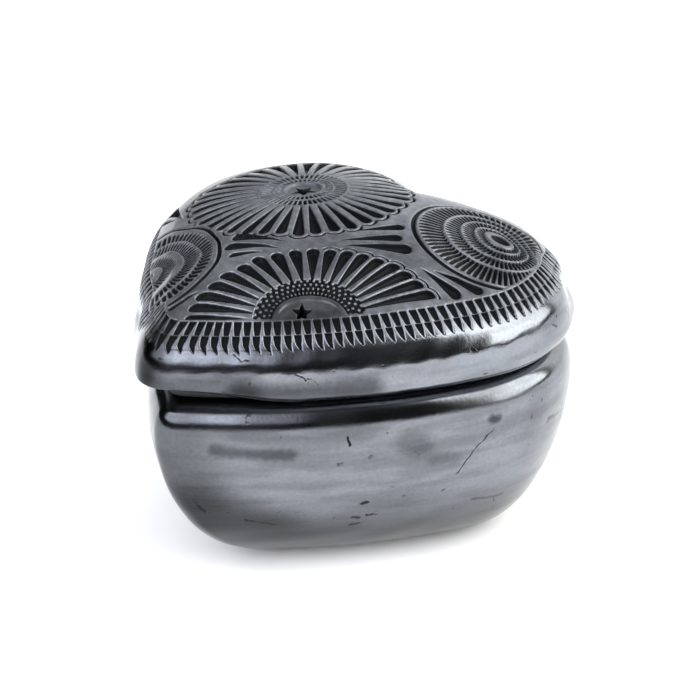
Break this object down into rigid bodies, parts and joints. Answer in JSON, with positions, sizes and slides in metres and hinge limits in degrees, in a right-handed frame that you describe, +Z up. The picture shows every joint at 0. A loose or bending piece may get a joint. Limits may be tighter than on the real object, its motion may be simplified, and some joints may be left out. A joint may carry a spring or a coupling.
{
  "type": "lidded trinket box",
  "caption": "Heart-shaped trinket box of burnished black clay: a rounded hollow base with a locating collar and a domed, carved lid that lifts straight off.",
  "frame": {"origin": "on the ground, under the middle of the box's bounding box", "axes": "+Z up, +Y from the tip of the heart towards its lobes, +X to the right seen from the tip"},
  "size_m": [0.0894, 0.09, 0.0676],
  "materials": {
    "base_clay": "burnished black clay with a graphite sheen",
    "lid_clay": "burnished rim, carved top left more matt"
  },
  "bodies": {
    "base": {"base": "base_clay"},
    "lid": {"lid": "lid_clay"}
  },
  "joints": [
    {"name": "lid_lift", "type": "slide", "parent": "base", "child": "lid", "axis": [0, 0, 1], "range_m": [0, 0.06]}
  ]
}
